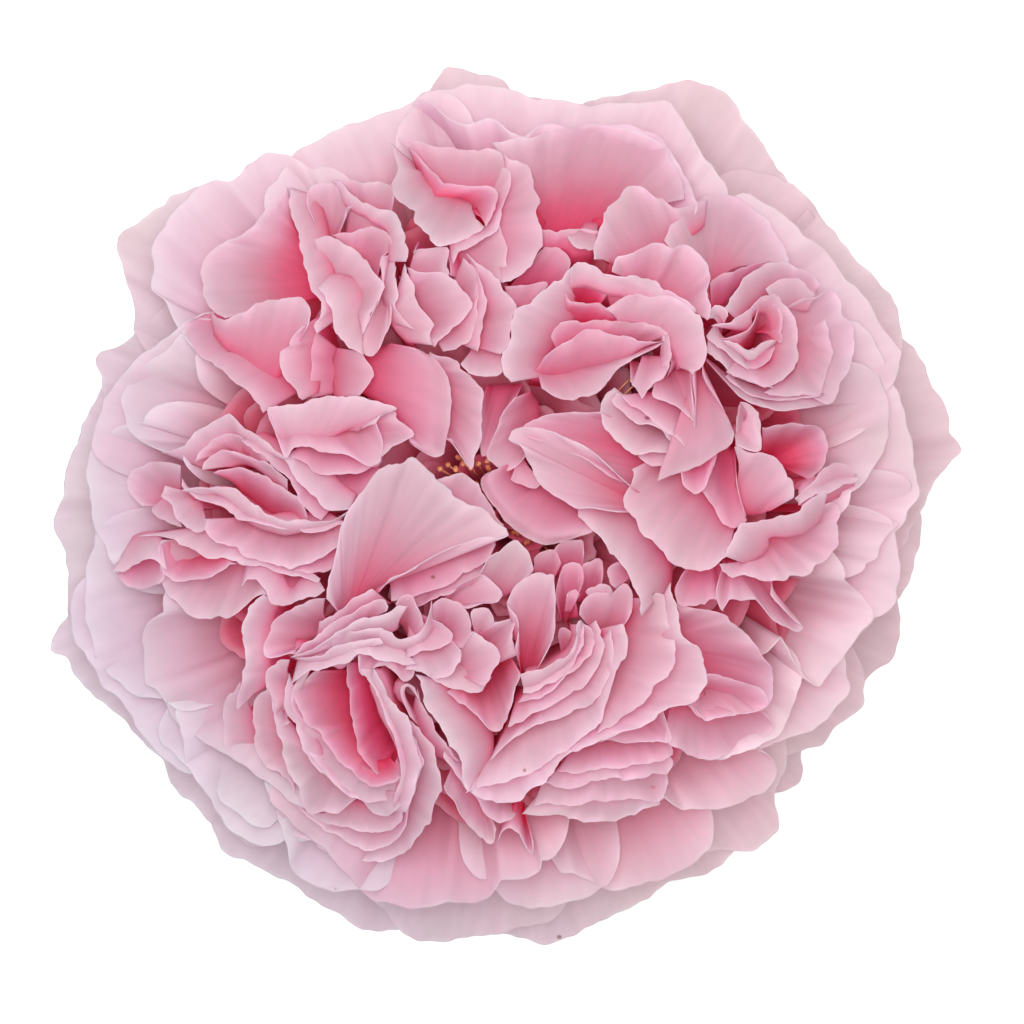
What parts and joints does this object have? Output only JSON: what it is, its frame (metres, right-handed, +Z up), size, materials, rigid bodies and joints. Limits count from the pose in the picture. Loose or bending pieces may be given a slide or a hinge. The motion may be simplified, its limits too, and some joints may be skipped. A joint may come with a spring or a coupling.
{
  "type": "garden rose",
  "caption": "Full quartered garden rose in pale pink, cut under its hip and resting face up on its outer petals.",
  "frame": {"origin": "on the surface that the flower rests on, under the middle of its outline", "axes": "+Z up along the flower's axis, +Y towards the top of the bloom as seen from above, +X to the right"},
  "size_m": [0.0914, 0.0881, 0.0417],
  "materials": {
    "guard_petals": "matt petal, rosy beige with a lavender cast",
    "outer_petals": "soft satin petal, pale pink with nearly white rims",
    "inner_petals": "soft satin petal, rose pink, deeper towards its foot",
    "tongue_petals": "soft satin petal, pale pink",
    "sepals": "matt green leaf, paler on its inner face",
    "hip": "smooth matt green skin",
    "stem": "green bark with a pale cut end",
    "stamens": "matt, ochre anthers",
    "styles": "matt, greenish yellow"
  },
  "bodies": {
    "root": {"guard_petal_n": "guard_petals", "guard_petal_nne": "guard_petals", "guard_petal_ene": "guard_petals", "guard_petal_e": "guard_petals", "guard_petal_ese": "guard_petals", "guard_petal_se1": "guard_petals", "guard_petal_se2": "guard_petals", "guard_petal_se3": "guard_petals", "guard_petal_sse": "guard_petals", "guard_petal_s1": "guard_petals", "guard_petal_s2": "guard_petals", "guard_petal_ssw": "guard_petals", "guard_petal_sw1": "guard_petals", "guard_petal_sw2": "guard_petals", "guard_petal_w1": "guard_petals", "guard_petal_w2": "guard_petals", "guard_petal_wnw": "guard_petals", "guard_petal_nw1": "guard_petals", "outer_petal_nw": "outer_petals", "outer_petal_nnw": "outer_petals", "crown_petal_n1": "outer_petals", "crown_petal_n2": "outer_petals", "outer_petal_ene": "outer_petals", "outer_petal_e1": "outer_petals", "outer_petal_e2": "outer_petals", "outer_petal_se1": "outer_petals", "outer_petal_se2": "outer_petals", "outer_petal_sse": "outer_petals", "outer_petal_s1": "outer_petals", "outer_petal_s2": "outer_petals", "outer_petal_sw1": "outer_petals", "outer_petal_sw2": "outer_petals", "outer_petal_w1": "outer_petals", "outer_petal_w2": "outer_petals", "outer_petal_wnw": "outer_petals", "fold_petal_nw1": "inner_petals", "fold_petal_nw2": "inner_petals", "pocket_petal_n": "inner_petals", "wave_petal_ne": "inner_petals", "hood_petal_ne": "inner_petals", "swirl_petal_ne": "inner_petals", "fan_petal_e1": "inner_petals", "fan_petal_e2": "inner_petals", "cupped_petal_se": "inner_petals", "strap_petal_s": "inner_petals", "rosette_petal_s": "inner_petals", "tongue_petal_w": "tongue_petals", "swirl_petal_w1": "inner_petals", "swirl_petal_w2": "inner_petals", "cup_petal_sw2": "inner_petals", "cup_petal_sw1": "inner_petals", "sepal_1": "sepals", "sepal_2": "sepals", "sepal_3": "sepals", "sepal_4": "sepals", "sepal_5": "sepals", "rose_hip": "hip", "stem_stub": "stem", "stamen_ring": "stamens", "style_column": "styles"}
  },
  "joints": []
}
